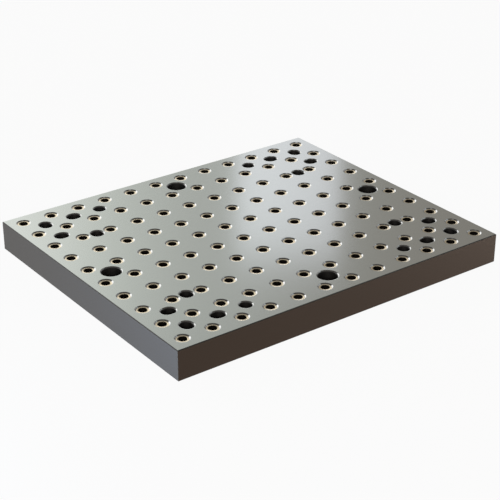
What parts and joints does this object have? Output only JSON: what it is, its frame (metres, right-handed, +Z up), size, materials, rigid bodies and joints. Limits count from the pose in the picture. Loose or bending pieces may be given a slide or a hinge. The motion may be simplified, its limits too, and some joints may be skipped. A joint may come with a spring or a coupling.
{
  "type": "fixture plate",
  "caption": "Thick rectangular steel fixture plate with a square grid of stepped locating holes, slotted bolt holes by each corner and a dowel bore at the middle of each side.",
  "frame": {"origin": "centre of the base face, which rests on a machine table", "axes": "+X along the long side, +Y along the short side, +Z up through the work face"},
  "size_m": [0.5992, 0.4992, 0.0486],
  "materials": {
    "plate_steel": "satin ground work face, milled sides"
  },
  "bodies": {
    "root": {"plate": "plate_steel"}
  },
  "joints": []
}
